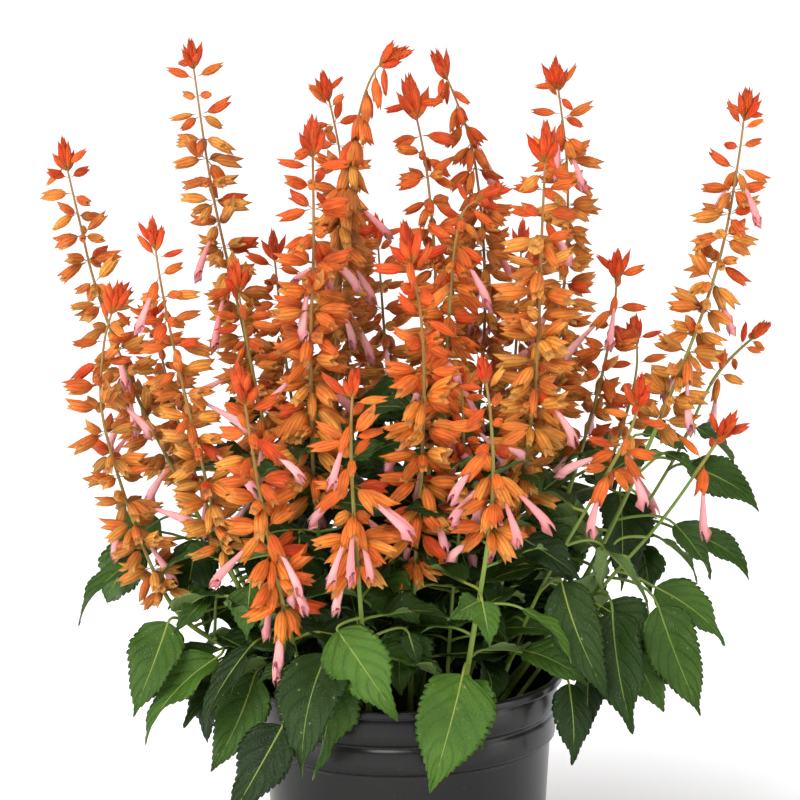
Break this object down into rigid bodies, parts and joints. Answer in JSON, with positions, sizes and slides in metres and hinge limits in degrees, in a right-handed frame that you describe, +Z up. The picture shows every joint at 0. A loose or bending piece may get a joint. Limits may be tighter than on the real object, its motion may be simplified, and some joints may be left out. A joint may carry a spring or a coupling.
{
  "type": "potted scarlet sage",
  "caption": "Bedding salvia in a round nursery pot, with whorled orange flower spikes above drooping toothed leaves.",
  "frame": {"origin": "centre of the pot's underside", "axes": "+Z up; -Y towards the front, the side the picture shows; +X to the right seen from the front"},
  "size_m": [0.4719, 0.3533, 0.5942],
  "materials": {
    "pot_plastic": "black moulded plastic with a soft sheen",
    "potting_soil": "damp dark peat with bits of brown bark",
    "foliage": "soft, finely wrinkled green leaf with pale veins and a light underside",
    "flower": "matt orange calyces with fine ribs, scarlet buds and pale pink corollas"
  },
  "bodies": {
    "root": {"pot": "pot_plastic", "soil": "potting_soil", "leafy_shoot_01": "foliage", "leafy_shoot_02": "foliage", "leafy_shoot_03": "foliage", "leafy_shoot_04": "foliage", "leafy_shoot_05": "foliage", "leafy_shoot_06": "foliage", "leafy_shoot_07": "foliage", "leafy_shoot_08": "foliage", "leafy_shoot_09": "foliage", "leafy_shoot_10": "foliage", "leafy_shoot_11": "foliage", "leafy_shoot_12": "foliage", "leafy_shoot_13": "foliage", "leafy_shoot_14": "foliage", "leafy_shoot_15": "foliage", "leafy_shoot_16": "foliage", "leafy_shoot_17": "foliage", "leafy_shoot_18": "foliage", "leafy_shoot_19": "foliage", "leafy_shoot_20": "foliage", "leafy_shoot_21": "foliage", "leafy_shoot_22": "foliage", "leafy_shoot_23": "foliage", "leafy_shoot_24": "foliage", "leafy_shoot_25": "foliage", "leafy_shoot_26": "foliage", "leafy_shoot_27": "foliage", "leafy_shoot_28": "foliage", "flower_spike_01": "flower", "flower_spike_02": "flower", "flower_spike_03": "flower", "flower_spike_04": "flower", "flower_spike_05": "flower", "flower_spike_06": "flower", "flower_spike_07": "flower", "flower_spike_08": "flower", "flower_spike_09": "flower", "flower_spike_10": "flower", "flower_spike_11": "flower", "flower_spike_12": "flower", "flower_spike_13": "flower", "flower_spike_14": "flower", "flower_spike_15": "flower", "flower_spike_16": "flower", "flower_spike_17": "flower", "flower_spike_18": "flower", "flower_spike_19": "flower", "flower_spike_20": "flower", "flower_spike_21": "flower", "flower_spike_22": "flower", "flower_spike_23": "flower", "flower_spike_24": "flower", "flower_spike_25": "flower", "flower_spike_26": "flower", "flower_spike_27": "flower", "flower_spike_28": "flower"}
  },
  "joints": []
}
